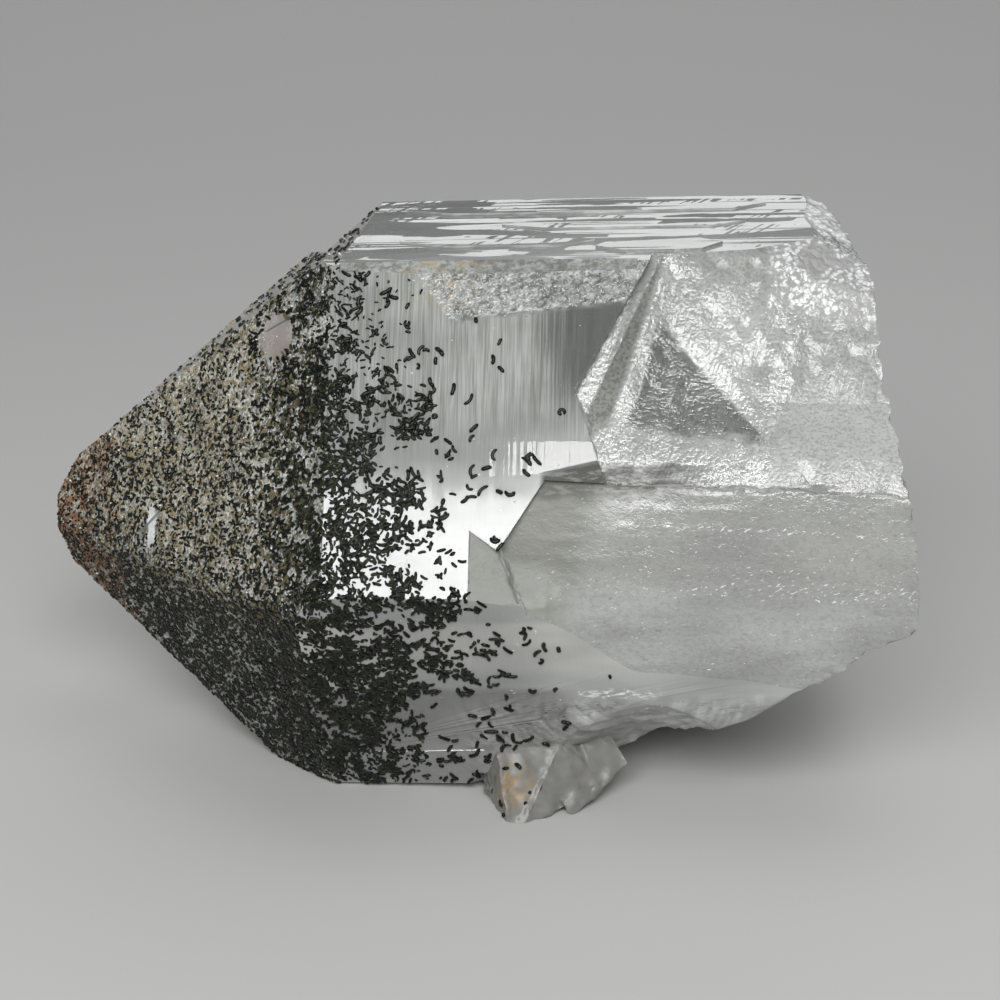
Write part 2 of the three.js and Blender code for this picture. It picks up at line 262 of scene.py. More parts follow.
def frontSkin(s, look, spot, skin):
    # Fine growth lines across the crystal, facets that lean a little differently, a darker window, a
    # sugary patch along the top edge, and broken quartz where the lower face ends.
    x, z = s.axis(spot, "X"), s.axis(spot, "Z")
    up = s.dot(spot, frontUp)
    upperFace = s.smooth(up, -14.2, -13.8)
    lines = s.noise(s.join(x * 6.5, up * 0.16), 1.0, 3, 0.62)
    bands = s.noise(s.join(x * 1.1, up * 0.10, 4.0), 1.0, 2, 0.5)
    edge = up + 0.5 * s.noise(s.join(x * 0.9, 0.0), 1.0, 3)
    strands = s.noise(s.join(x * 3.4, up * 0.08, 9.0), 1.0, 2, 0.6)
    ribbon = s.smooth(edge - 0.06 * x, -3.25, -3.1) * s.smooth(edge, -0.25, -0.40)
    ribbon = ribbon * s.smooth(strands + 0.055 * (x - 4.5), 0.50, 0.53) * s.smooth(x, 1.0, 2.0)
    seam = s.smooth(up - 0.213 * (x - 6.4), -2.9, -3.3) * s.smooth(x, 6.2, 6.7) * s.smooth(up, -7, -6)
    thread = s.smooth(lines, 0.66, 0.69) * upperFace
    sugar = s.smooth(edge - 0.1 * x + 0.7 * s.noise(spot, 0.8, 2), 9.2, 9.8)
    sugar = sugar * s.smooth(x + 0.7 * up + 1.5 * s.noise(spot, 0.5, 2), 5.8, 7.0)
    smashed = s.smooth(z, -8.3, -10.5) * s.smooth(x, -3, 0.5) * (1 - upperFace)
    lean = -0.020 * ribbon + 0.03 * thread + look["lean"] * (bands - 0.5) + 0.2 * seam
    across = 0.05 * (s.smooth(lines, 0.60, 0.66) - s.smooth(lines, 0.38, 0.32)) * upperFace
    skin["normal"] = s.tilted(s.along(inWorld(frontUp), lean) + s.along(inWorld((1, 0, 0)), across))
    window = s.smooth(x + 5.0 * (lines - 0.5), 5.0, 9.4) * s.smooth(edge, 1.0, 4.6) * (1 - sugar)
    lined = (0.7 * s.smooth(lines, 0.40, 0.60) + 0.3 * s.smooth(bands, 0.42, 0.58)) * upperFace
    lined = lined * s.smooth(up, -5.0, 3.0) * (1 - sugar)
    paint(s, skin, 0.75 * lined, (0.20, 0.21, 0.18))
    paint(s, skin, 0.70 * window, (0.15, 0.16, 0.15))
    paint(s, skin, 0.65 * ribbon, (0.12, 0.12, 0.115))
    pale = 0.5 * (1 - upperFace) * s.smooth(z, -7.5, -5.5)
    paint(s, skin, pale, (0.64, 0.63, 0.60))
    gritty = s.smooth(s.noise(spot, 1.5, 3, 0.75), 0.66, 0.36)
    paint(s, skin, 0.85 * sugar * gritty, (0.11, 0.115, 0.095))
    stain = s.band(x, -1.6, 1.4, 2.5) * s.smooth(up, 9.0, 11.0)
    stain = stain * s.smooth(s.noise(spot, 2.6, 2, 0.65), 0.52, 0.60)
    paint(s, skin, 0.6 * stain, quartzTones["ochre"])
    ragged = s.smooth(s.noise(s.join(x * 0.8, up * 2.4, 4.0), 1.0, 3, 0.6), 0.62, 0.46)
    # Painted shade: the seam under the ridge is painted dark, with ragged ends.
    paint(s, skin, seam * (0.55 + 0.4 * ragged), quartzTones["hollow"])
    skin["gloss"] = look["gloss"] + 0.15 * seam
    dark = z + 1.2 * s.noise(s.join(x * 0.25, 2.0), 1.0, 2)
    deep = s.smooth(dark, -7.2, -8.2) * (1 - upperFace) * s.smooth(x, 9, 6)
    paint(s, skin, deep * s.smooth(z, -18, -12, 0.45, 0.85), (0.25, 0.248, 0.24))
    veils = s.smooth(s.noise(s.join(x * 1.1, z * 5.0, 6.0), 1.0, 2, 0.5), 0.66, 0.72) * deep
    paint(s, skin, 0.5 * veils, (0.5, 0.5, 0.5))
    away = s.away(spot, crackStart)
    cracks = s.noise(s.join(away * 0.75, x * 0.12, z * 0.12), 1.0, 2, 0.6)
    paint(s, skin, smashed * s.smooth(cracks, 0.60, 0.42) * 0.5, (0.17, 0.17, 0.16))
    glint = s.band(z + 1.2 * s.noise(spot, 0.7, 1), -8.0, 0.25, 0.45) * s.band(x, 11.4, 3.6, 2.2)
    broken = s.smooth(s.noise(s.join(x * 1.2, z * 4.0, 2.0), 1.0, 2, 0.6), 0.46, 0.60)
    glint = glint * broken * (1 - upperFace)
    paint(s, skin, glint, (0.90, 0.90, 0.90))
    milky = (1 - upperFace) * s.smooth(x, 2.5, 8.0) + smashed
    skin["milk"] = s.node("ShaderNodeMath", {"operation": "MINIMUM"}, {
        0: skin["milk"] - 0.10 * window + 0.08 * (lines - 0.5) + 0.16 * milky, 1: 0.92})
    grainy = 1.5 * s.smooth(up - 0.1 * x, 8.9, 9.5) * s.smooth(x + 0.7 * up, 5.0, 6.2)
    skin["heights"] = grainy * (s.noise(spot, 2.8, 2, 0.6) - 0.5) + 2.4 * smashed * (cracks - 0.5)
    skin["distance"] = 0.00012


def rearSkin(s, look, spot, skin):
    # Sides that the rock lay against: dull, with faint growth lines across the crystal.
    x = s.axis(spot, "X")
    lines = s.noise(s.join(x * 1.6, s.axis(spot, "Y") * 0.06, s.axis(spot, "Z") * 0.06), 1.0, 2, 0.6)
    skin["heights"] = lines + 0.5 * s.noise(spot, 1.4, 1)
    skin["distance"] = 0.00006


def pointSkin(s, look, spot, skin):
    # Chlorite also dusts the skin itself, finer than the grains. The upper face has a clear rosy
    # window and a small bright ledge near the tip.
    x, y, z = (s.axis(spot, name) for name in "XYZ")
    worms = s.cells(spot + 0.5 * s.noise(spot, 1.3, 2), 4.4)
    front = s.smooth(y, 2, -4)
    high = s.smooth(z, -3, 3)
    bare = s.smooth(s.noise(spot, 0.45, 2) - 0.18 * high, 0.24, 0.42)
    dust = s.smooth(worms - 0.08 * high, 0.34, 0.42) * bare * look["speckle"] * front
    dry = s.smooth(x + 4 * s.noise(spot, 0.4, 3), -10, -20) * high
    sprinkle = s.smooth(s.noise(spot, 3.6, 2), 0.54, 0.62)
    dustColour = s.blend(dry * sprinkle, (0.014, 0.016, 0.010), (0.24, 0.19, 0.10))
    warm = s.blend(0.6 * dry * front, (0.57, 0.58, 0.56), (0.60, 0.54, 0.40))
    gap = s.blend(high, (0.66, 0.68, 0.62), warm)
    flecks = s.noise(spot, 4.6, 1)
    gap = s.blend(s.smooth(flecks, 0.52, 0.38) * front, gap, (0.27, 0.26, 0.21))
    # Painted glints: near-white specks in the gaps, on the faces that look forward.
    gap = s.blend(s.smooth(flecks, 0.58, 0.68) * front, gap, (0.90, 0.90, 0.84))
    rust = s.smooth(x + 6 * s.noise(spot, 0.35, 2), -26, -33) * s.smooth(s.noise(spot, 1.2, 2), 0.46, 0.6)
    gap = s.blend(rust * 0.85, gap, (0.36, 0.17, 0.075))
    skin["milkColour"] = s.blend(dust, gap, dustColour)
    away = s.away(spot, roseWindow)
    window = s.smooth(away + 0.8 * s.noise(spot, 0.9, 2), 2.35, 2.15)
    rosy = s.blend(s.smooth(z, 18.6, 16.9), (0.44, 0.41, 0.395), (0.37, 0.325, 0.29))
    paint(s, skin, window, rosy)
    ledge = s.band(x + 0.1 * z, -26.75, 0.75, 0.08) * s.band(z, 1.9, 2.8, 0.15) * front
    paint(s, skin, ledge, (0.92, 0.93, 0.95))
    skin["milk"] = skin["milk"] + 0.25 * dust
    skin["heights"] = s.noise(spot, 2.0, 1)
    skin["distance"] = 0.00003


def frostMask(s, spot):
    # The frothy white patch at the top right corner.
    x, up = s.axis(spot, "X"), s.dot(spot, frontUp)
    return s.smooth(up + 0.25 * x + s.noise(spot, 0.6, 2), 16.6, 17.6) * s.smooth(x, 22.6, 24.0)


def frothCells(s, spot):
    # How far it is to the middle of the nearest froth grain.
    return s.cells(spot + 0.5 * s.noise(spot, 2.2, 1), 2.3)


def foamShare(s, spot, froth):
    # White on the froth grains, in patches.
    return s.smooth(s.noise(spot, 0.42, 2, 0.5), 0.45, 0.53) * s.smooth(froth, 0.60, 0.32)


def contactSkin(s, look, spot, skin):
    # Crumpled rows and slanting ridges, a smooth strip by the rim, a darker panel with three corners.
    x = s.axis(spot, "X")
    up = s.dot(spot, contactUp)
    across = x - 0.30 * up
    fromRim = x - 0.446 * up - 7.65
    strip = s.smooth(across, 11.2, 10.8) * s.smooth(fromRim, 1.0, 1.3)
    strip = strip * s.smooth(up - 0.5 * across, -5.4, -3.6)
    rim = s.smooth(fromRim, 1.3, 1.0) * s.smooth(up, 2.2, 2.8) * s.smooth(up, 11.6, 10.6)
    crestBand = s.band(across, 11.95, 1.1, 0.35) * s.smooth(up, 1.2, 2.4)
    wander = s.noise(s.join(x * 0.5, up * 0.8), 1.0, 2)
    panel = s.smooth(22.9 - x - 0.889 * up, -0.25, 0.25) * s.smooth(across, 12.0, 12.7)
    panel = panel * s.smooth(up + 0.12 * x + 2.4 * wander, 3.0, 4.2)
    ridge = s.band(x - 0.253 * up, 22.97, 1.0, 0.35) * s.smooth(up, 9.4, 8.4)
    dent = s.band(x + 0.8 * up + 3.0 * wander, 33.0, 2.0, 3.5)
    dent = dent * s.smooth(up - 0.12 * x + wander, 9.3, 11.3)
    beyond = s.smooth(x - 0.253 * up, 23.2, 24.6)
    seam = s.smooth(up + 1.2 * wander, -1.3, -1.9) * s.smooth(x, 21, 15)
    frost = frostMask(s, spot)
    rows = s.noise(s.join(across * 1.5, up * 4.0), 1.0, 1, 0.5)
    slant = s.noise(s.join(across * 3.2, up * 0.9, 2.0), 1.0, 1, 0.5)
    fine = s.noise(spot, 4.4, 1)
    calm = (1 - 0.6 * s.smooth(strip + dent, 0, 1)) * (1 - 0.15 * beyond) * (1 - 0.6 * seam)
    creased = rows * (0.4 + panel * 0.9) + slant * (1 - panel) * 0.9
    skin["heights"] = fine * (1.0 + 0.5 * crestBand) + creased
    froth = frothCells(s, spot)
    skin["heights"] = skin["heights"] * calm * (1 - frost) + 2.0 * frost * (1 - froth)
    skin["distance"] = look["crumple"]
    grains = s.smooth(s.noise(spot, 3.0, 2), 0.40, 0.60)
    lit = s.smooth((ridge + rim + crestBand) * grains, 0.0, 1.0)
    bright = s.smooth(ridge + rim + crestBand, 0, 1)
    lean = 0.025 + 0.03 * panel - 0.025 * bright + 0.02 * beyond
    lean = lean + 0.05 * s.smooth(strip + dent + 1.6 * seam, 0, 1)
    even = 1.5 * s.smooth(up, 4.5, 1.5)
    upward = s.along(inWorld(contactUp), lean * (even + 1))
    skin["normal"] = s.tilted(upward + s.along(inWorld(contactNormal), even))
    skin["milk"] = skin["milk"] - 0.05 * strip - 0.05 * panel + 0.15 * lit + 0.2 * frost
    # Painted shade: the hollows of the crumpled relief are painted darker.
    hollow = s.smooth(fine * 0.5 + rows * 0.5, 0.50, 0.40)
    pale = s.blend(0.7 * beyond, skin["milkColour"], (0.56, 0.57, 0.56))
    # Painted shade: the pale part is painted darker in the hollows of the fine relief.
    pale = s.blend(0.25 * beyond * s.smooth(fine, 0.60, 0.36), pale, (0.30, 0.30, 0.29))
    # The strip and the dent are painted a darker olive, and darker still in the hollows of the fine
    # relief, where it is painted shade.
    mottled = (0.75 * strip + 0.5 * dent) * s.smooth(fine, 0.62, 0.36, 0.55, 1.0)
    dull = s.blend(mottled, pale, (0.16, 0.16, 0.13))
    dull = s.blend(panel * 0.75, dull, (0.15, 0.155, 0.145))
    dull = s.blend(hollow * calm * (0.25 + 0.25 * panel), dull, (0.10, 0.105, 0.095))
    cracked = s.smooth(s.noise(s.join(x * 0.7, up * 2.2, 4.0), 1.0, 2, 0.6), 0.62, 0.46)
    # Painted shade: the seam under the ridge is painted dark, with cracked, ragged parts.
    dull = s.blend(seam * (0.45 + 0.45 * cracked), dull, quartzTones["hollow"])
    skin["gloss"] = look["gloss"] + 0.2 * s.smooth(dent + seam, 0, 1) + 0.16 * beyond
    dull = s.blend(0.35 * lit, dull, (0.60, 0.61, 0.60))
    foam = foamShare(s, spot, froth)
    dull = s.blend(0.6 * frost, dull, quartzTones["underFroth"])
    skin["milkColour"] = s.blend(frost * (0.10 + 0.90 * foam), dull, quartzTones["froth"])


def bellySkin(s, look, spot, skin):
    # Smooth and milky: wrinkles in its upper half, lines of small painted glints along it, and a seam of
    # painted shade with ragged ends under the upper ridge.
    x, z = s.axis(spot, "X"), s.axis(spot, "Z")
    flow = z + 0.06 * x + 0.9 * s.noise(s.join(x * 0.20, z * 0.2), 1.0, 3)
    upper = s.smooth(flow, 0.5, 4.0)
    wrinkle = s.noise(s.join(x * 2.4, flow * 3.8, s.axis(spot, "Y")), 1.0, 2, 0.6, 0.8)
    streaks = s.noise(s.join(x * 1.7 + z * 0.5, (z - 0.35 * x) * 5.0, 3.0), 1.0, 2, 0.6)
    patches = s.noise(s.join(x * 0.35, flow * 0.9, 6.0), 1.0, 2)
    band = s.smooth(flow, 1.4, 2.0) * s.smooth(flow, 4.6, 2.4) * s.smooth(x, 2, 26, 0.25, 1.0)
    line = s.band(flow, 7.0, 0.15, 0.25) * s.smooth(x, 10, 13)
    often = 0.07 * band + 0.11 * line + 0.14 * (patches - 0.5)
    line = s.smooth(streaks + often, 0.66, 0.76) * s.smooth(x, 4, 8)
    seam = s.smooth(z + 1.6 * s.noise(s.join(x * 0.5, z * 0.5), 1.0, 2), 7.8, 9.0) * s.smooth(x, 20, 14)
    ragged = s.smooth(s.noise(s.join(x * 0.7, z * 1.9, 4.0), 1.0, 2, 0.6), 0.34, 0.52)
    skin["heights"] = wrinkle * (0.30 + 0.70 * upper)
    skin["distance"] = look["crumple"]
    lean = 0.12 * seam - 0.03 * s.smooth(flow, 2.0, 5.0) - 0.05 * s.smooth(flow, 5.5, 7.5)
    skin["normal"] = s.tilted(s.along(inWorld((0, 0.3, 0.95)), lean))
    left = s.smooth(x - 0.4 * z, 9.6, 6.4)
    paint(s, skin, 0.35 + 0.3 * upper, (0.275, 0.278, 0.258))
    # Painted shade: the creases of the wrinkles are painted darker.
    creaseShade = 0.30 * s.smooth(wrinkle, 0.60, 0.30)
    paint(s, skin, creaseShade, (0.18, 0.18, 0.16))
    paint(s, skin, 0.75 * left, (0.19, 0.195, 0.165))
    skin["gloss"] = look["gloss"] + 0.30 * s.smooth(x - 0.35 * z, 12.0, 5.0) + 0.2 * seam
    # Painted shade: the seam under the upper ridge, with ragged ends.
    paint(s, skin, seam * ragged * 0.9, (0.12, 0.12, 0.105))
    # Painted glints: short white streaks in lines along the belly.
    paint(s, skin, line * 0.8, (0.92, 0.92, 0.92))
    pits = s.smooth(s.noise(s.join(x * 0.9, z * 2.6, 8.0), 1.0, 2), 0.68, 0.76)
    paint(s, skin, pits * 0.5, (0.16, 0.16, 0.15))


def sugarySkin(s, look, spot, skin):
    # Sugary edge with a yellowish stain.
    x = s.axis(spot, "X")
    stain = s.band(x, -1.6, 3.0, 3.0) * s.smooth(s.noise(spot, 0.9, 3), 0.48, 0.62)
    flecks = s.smooth(s.noise(spot, 1.4, 4, 0.75), 0.36, 0.62)
    skin["heights"] = s.noise(spot, 2.2, 2, 0.65)
    skin["distance"] = look["crumple"]
    paint(s, skin, flecks * 0.8, (0.17, 0.175, 0.15))
    paint(s, skin, stain * 0.6, quartzTones["ochre"])


def frostedSkin(s, look, spot, skin):
    # White frothy grains in patches.
    domes = frothCells(s, spot)
    foam = foamShare(s, spot, domes)
    skin["heights"] = (1 - domes) * 1.4 + 0.3 * s.noise(spot, 3.5, 2)
    skin["distance"] = look["crumple"]
    paint(s, skin, 0.6, quartzTones["underFroth"])
    paint(s, skin, 0.10 + 0.90 * foam, quartzTones["froth"])


def brokenSkin(s, look, spot, skin):
    # Rough broken quartz, with rust and chlorite caught in the small wedge under the front; its hollows
    # and the wedge are painted darker as shade.
    x, y, z = (s.axis(spot, name) for name in "XYZ")
    wedge = s.smooth(z, -13.5, -15.0) * s.smooth(y, -13, -16) * s.smooth(x, 13, 10.5)
    frost = frostMask(s, spot)
    near = s.away(spot, rustSpot)
    stain = s.smooth(near, 2.6, 0.8) * s.smooth(s.noise(spot, 1.5, 4, 0.7), 0.42, 0.62)
    away = s.away(spot, crackStart)
    rough = s.noise(s.join(away * 0.75, x * 0.25, z * 0.25), 1.0, 2, 0.62)
    skin["heights"] = rough
    skin["distance"] = look["crumple"]
    # Painted shade: the hollows of the rough relief are painted darker.
    pits = 0.55 * s.smooth(rough, 0.58, 0.42)
    paint(s, skin, pits, (0.19, 0.19, 0.18))
    # Painted shade: the small wedge under the crystal is painted darker.
    paint(s, skin, wedge * 0.85, (0.16, 0.157, 0.143))
    skin["gloss"] = look["gloss"] + 0.15 * wedge
    paint(s, skin, stain * 0.7, (0.34, 0.22, 0.10))
    foam = s.smooth(s.noise(spot, 0.42, 2, 0.5), 0.42, 0.50) * s.smooth(frothCells(s, spot), 0.62, 0.34)
    paint(s, skin, frost * (0.15 + 0.85 * foam), quartzTones["froth"])
    skin["milk"] = skin["milk"] + 0.1 * wedge


skinMakers = {
    "streakedTop": topSkin, "clearFront": frontSkin, "rearSide": rearSkin, "pointFace": pointSkin,
    "contact": contactSkin, "belly": bellySkin, "sugary": sugarySkin, "frosted": frostedSkin,
    "broken": brokenSkin,
}


def quartzMaterial(name, look):
    s = Shader("quartz_" + name)
    spot = inCrystal(s)
    clouds = s.noise(spot, 0.09, 1, 0.55)
    wisps = s.noise(s.turned(spot, turn=(20, 10, 35), scale=(0.35, 1, 1)), 0.28, 2, 0.6)
    cloudy = s.smooth(clouds * 0.6 + wisps * 0.4, 0.38, 0.64)
    skin = {
        "milk": look["milk"] + look["cloud"] * (cloudy - 0.5),
        "milkColour": s.blend(cloudy, (0.44, 0.45, 0.44), clearQuartz["milkTint"]),
        "normal": None, "heights": None, "distance": 0.0, "gloss": look["gloss"],
    }
    skinMakers[name](s, look, spot, skin)
    normal = skin["normal"]
    if skin["heights"]:
        normal = s.bump(skin["heights"], skin["distance"], normal)
    glassSockets = {"Base Color": colour(clearQuartz["tint"]), "Roughness": skin["gloss"],
                    "IOR": clearQuartz["ior"], "Transmission Weight": 1.0, "Normal": normal}
    cloudSockets = {"Base Color": skin["milkColour"], "Roughness": skin["gloss"] + 0.04,
                    "IOR": clearQuartz["ior"], "Normal": normal}
    glass = s.node("ShaderNodeBsdfPrincipled", {}, glassSockets)
    cloud = s.node("ShaderNodeBsdfPrincipled", {}, cloudSockets)
    surface = s.node("ShaderNodeMixShader", {}, {0: skin["milk"], 1: glass, 2: cloud})
    inside = s.node("ShaderNodeVolumeAbsorption", {}, {
        "Color": colour(clearQuartz["absorbTint"]), "Density": clearQuartz["absorb"]})
    return s.finish(surface, inside)


# Where each skin of the crystal lies: planes in its own axes, millimetres from their middle.
sideReach = {0: 23.83, 60: 24.34, 120: 23.07, 180: 18.8, 240: 20.4, 300: 18.82}
pointReach = {0: 24.8, 60: 25.4, 120: 25.9, 180: 25.9, 240: 24.1, 300: 21.2}
pointLean = math.radians(51.8)
contactNormal = Vector((0.15, -0.855, 0.494)).normalized()
contactUp = contactNormal.cross(Vector((1, 0, 0)) - contactNormal.x * contactNormal).normalized()
edgeNormal = Vector((0, -0.5, 0.866))
frostNormal = Vector((0.34, -0.42, 0.84)).normalized()
contactReach = 24.85
edgeReach = 27.45
frostReach = 32.3


def sideNormal(turn):
    return Vector((0, -math.sin(math.radians(turn)), math.cos(math.radians(turn))))


def pointNormal(turn):
    return sideNormal(turn) * math.sin(pointLean) - Vector((math.cos(pointLean), 0, 0))


def skinOf(normal, spot):
    # Names the skin that a face of the solid belongs to, from its place in the crystal's own axes.
    for turn in sideReach:
        flat = sideNormal(turn)
        if normal.dot(flat) > 0.9995 and abs(spot.dot(flat) - sideReach[turn]) < 0.5:
            return {0: "streakedTop", 60: "clearFront", 120: "clearFront"}.get(turn, "rearSide")
        flat = pointNormal(turn)
        if normal.dot(flat) > 0.9995 and abs(spot.dot(flat) - pointReach[turn]) < 1.2:
            return "pointFace"
    if spot.x < -30:
        return "pointFace"
    if abs(spot.dot(edgeNormal) - edgeReach) < 0.5 and normal.dot(edgeNormal) > 0.97 and spot.x < 15:
        return "sugary"
    near = abs(spot.dot(contactNormal) - contactReach) < 3.4
    if near and normal.dot(contactNormal) > 0.5 and spot.z > 8.6:
        return "contact"
    if spot.y < -19 and -11 < spot.z < 10.5 and spot.x > 0.5 and normal.y < -0.3:
        return "belly"
    if abs(spot.dot(frostNormal) - frostReach) < 1.5 and normal.dot(frostNormal) > 0.7:
        return "frosted"
    return "broken"


# For each rough skin: the longest edge its mesh may keep, how far it rises and how wide its relief is.
crystalShape = {
    "edge": {"contact": 0.24, "belly": 0.32, "sugary": 0.24, "frosted": 0.20, "broken": 0.60,
             "clearFront": 0.5},
    "rise": {"contact": 0.022, "belly": 0.05, "sugary": 0.06, "frosted": 0.26, "broken": 0.28,
             "clearFront": 0.2},
    "size": {"contact": 0.50, "belly": 0.9, "sugary": 0.5, "frosted": 0.62, "broken": 1.3,
             "clearFront": 1.2},
    "fade": 0.8,  # the relief fades out this close to a crisp edge
    "weld": 2e-6,  # in metres
    "sharpAngle": 26,
    "splits": 9,
}
skinNames = list(faceLooks)
roughSkins = ("contact", "belly", "sugary", "frosted", "broken")
roughIndex = {skinNames.index(name) for name in roughSkins}
frontIndex = skinNames.index("clearFront")


def smashedShare(spot):
    # The part of the lower front face that is broken away in flakes.
    if spot.dot(frontUp) > -14:
        return 0.0
    return smoothStep(-spot.z, 8.3, 10.5) * smoothStep(spot.x, -3, 0.5)


def frostShare(spot):
    up = spot.dot(frontUp)
    edge = up + 0.25 * spot.x + 0.5 * noise.noise(spot * 0.6)
    return smoothStep(edge, 17.0, 17.9) * smoothStep(spot.x, 22.8, 24.2)


def octaves(spot):
    total = 0.0
    share = 1.0
    for octave in range(3):
        total += share * noise.noise(spot * 2 ** octave + Vector((octave * 7.3, 1.7, 4.1)))
        share *= 0.55
    return total


def roughHeight(name, spot):
    # How far a rough skin rises above the solid's own surface at this spot, in millimetres.
    rise, size = crystalShape["rise"][name], crystalShape["size"][name]
    frost = frostShare(spot) if name in ("contact", "frosted") else 0.0
    dome = 0.0
    if frost:
        froth = smoothStep(noise.noise(spot * 0.42), -0.12, 0.10)
        dome = (0.6 - noise.voronoi(spot / 0.55)[0][0]) * (0.4 + 0.6 * froth)
        dome *= crystalShape["rise"]["frosted"]
    if name == "frosted":
        return dome
    if name == "contact":
        up = spot.dot(contactUp)
        across = spot.x - 0.30 * up
        strip = smoothStep(across, 11.2, 10.8) * smoothStep(spot.x - 0.446 * up, 8.65, 8.95)
        panel = smoothStep(22.9 - spot.x - 0.889 * up, -0.4, 0.4)
        rows = noise.noise(Vector((across * 0.8, up * 2.2, 3.0)))
        slant = noise.noise(Vector((across * 1.5, up * 0.14, 8.0)))
        crumple = octaves(spot / size) + (0.4 + 0.6 * panel) * rows + (1 - panel) * slant
        calm = (1 - 0.85 * strip) * (1 - 0.45 * smoothStep(across + 0.9 * up, 20, 25))
        return rise * crumple * calm * (1 - frost) + dome * frost
    if name == "belly":
        flow = noise.noise(Vector((spot.x * 0.22, spot.z * 1.1, 2.0)))
        wrinkle = octaves(Vector((spot.x * 0.7, spot.y, spot.z * 1.4)) / size)
        return rise * (flow + 0.7 * wrinkle * (0.5 + 0.5 * smoothStep(spot.z, 1, 4)))
    if name == "clearFront":
        return rise * smashedShare(spot) * octaves(Vector((spot.x * 1.3, spot.y, spot.z * 0.6)) / size)
    return rise * octaves(spot / size)


def edgeLimit(edge):
    # The longest this edge may stay; smooth faces keep theirs.
    names = {skinNames[face.material_index] for face in edge.link_faces}
    if names == {"clearFront"} and smashedShare((edge.verts[0].co + edge.verts[1].co) / 2) == 0.0:
        return 100.0
    if names & {"streakedTop", "pointFace", "rearSide"}:
        names = names & set(roughSkins)
    return min([crystalShape["edge"].get(name, 100.0) for name in names], default=100.0)


def edgeStrips(edges):
    # Thin triangles along the edges, so that a tree can find how far a point is from them.
    points = []
    strips = []
    for edge in edges:
        start = len(points)
        a, b = (v.co.copy() for v in edge.verts)
        points += [a, b, (a + b) / 2]
        strips.append((start, start + 1, start + 2))
    return points, strips


def crispEdges(bm):
    # The edges where a rough skin or another face meets a smooth one.
    border = set()
    for edge in bm.edges:
        kinds = {face.material_index for face in edge.link_faces}
        if len(kinds) > 1 and not kinds <= roughIndex:
            border.add(edge)
    return BVHTree.FromPolygons(*edgeStrips(border))


def splitEdges(bm):
    for split in range(crystalShape["splits"]):
        tooLong = [edge for edge in bm.edges if edge.calc_length() > edgeLimit(edge)]
        if not tooLong:
            break
        bmesh.ops.subdivide_edges(bm, edges=tooLong, cuts=1)
        bmesh.ops.triangulate(bm, faces=[f for f in bm.faces if len(f.verts) > 3])
    bm.normal_update()


def roughen(bm, crisp):
    # Moves the rough skins' points along their normals, less and less towards a crisp edge.
    moves = []
    for vertex in bm.verts:
        kinds = {face.material_index for face in vertex.link_faces}
        if kinds == {frontIndex}:
            name = "clearFront"
        elif kinds <= roughIndex:
            name = skinNames[max(kinds)]
        else:
            continue
        near = crisp.find_nearest(vertex.co)
        fade = min(1.0, near[3] / crystalShape["fade"]) if near[0] else 1.0
        moves.append((vertex, vertex.normal.copy() * roughHeight(name, vertex.co) * fade))
    for vertex, move in moves:
        vertex.co += move


def makeCrystal():
    bm = bmesh.new()
    bm.from_mesh(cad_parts["quartz_crystal"].data)
    bmesh.ops.remove_doubles(bm, verts=bm.verts, dist=crystalShape["weld"])
    bm.transform(lying)
    bmesh.ops.triangulate(bm, faces=bm.faces)
    bm.normal_update()
    for face in bm.faces:
        face.material_index = skinNames.index(skinOf(face.normal, face.calc_center_median()))
    crisp = crispEdges(bm)
    splitEdges(bm)
    roughen(bm, crisp)
    smooth = []
    for face in bm.faces:
        smashed = face.material_index == frontIndex and smashedShare(face.calc_center_median()) > 0
        smooth.append(smashed or face.material_index in roughIndex)
    bm.transform(standing)
    for vertex in bm.verts:
        vertex.co.z = max(vertex.co.z, 0.0)
    mesh = bpy.data.meshes.new("crystal_skin")
    bm.to_mesh(mesh)
    bm.free()
    mesh.set_sharp_from_angle(angle=math.radians(crystalShape["sharpAngle"]))
    mesh.polygons.foreach_set("use_smooth", smooth)
    piece = bpy.data.objects.new("crystal_skin", mesh)
    scene.collection.objects.link(piece)
    for name in skinNames:
        mesh.materials.append(quartzMaterial(name, faceLooks[name]))
    return piece


crystal = makeCrystal()
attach(crystal, "root")
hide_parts("quartz_crystal")
print("crystal skin:", len(crystal.data.polygons), "faces")


# Chlorite grains: short curved rods, half sunk in the skin.
grainLooks = {
    "chlorite_dust_1": {"count": 6800, "length": (0.16, 0.42), "thick": (0.085, 0.13), "rings": 3,
                        "sides": 4, "seed": 11, "zone": "point", "bend": 0.8},
    "chlorite_dust_2": {"count": 6800, "length": (0.16, 0.42), "thick": (0.085, 0.13), "rings": 3,
                        "sides": 4, "seed": 12, "zone": "point", "bend": 0.8},
    "chlorite_worms": {"count": 3600, "length": (0.28, 0.75), "thick": (0.115, 0.155), "rings": 5,
                       "sides": 5, "seed": 23, "zone": "rim", "bend": 1.0},
    "chlorite_long_worms": {"count": 560, "length": (0.35, 1.1), "thick": (0.12, 0.17), "rings": 8,
                            "sides": 6, "seed": 31, "zone": "far", "bend": 1.8},
    "chlorite_foot_grains": {"count": 34, "length": (0.2, 0.9), "thick": (0.13, 0.19), "rings": 5,
                             "sides": 6, "seed": 61, "zone": "foot", "bend": 1.2},
}

# By the grain's thickness: how high its middle lies, how far its tips reach, how thin its ends are.
grainForm = {"height": 0.3, "tip": 0.55, "end": 0.72, "wobble": (0.92, 1.08)}

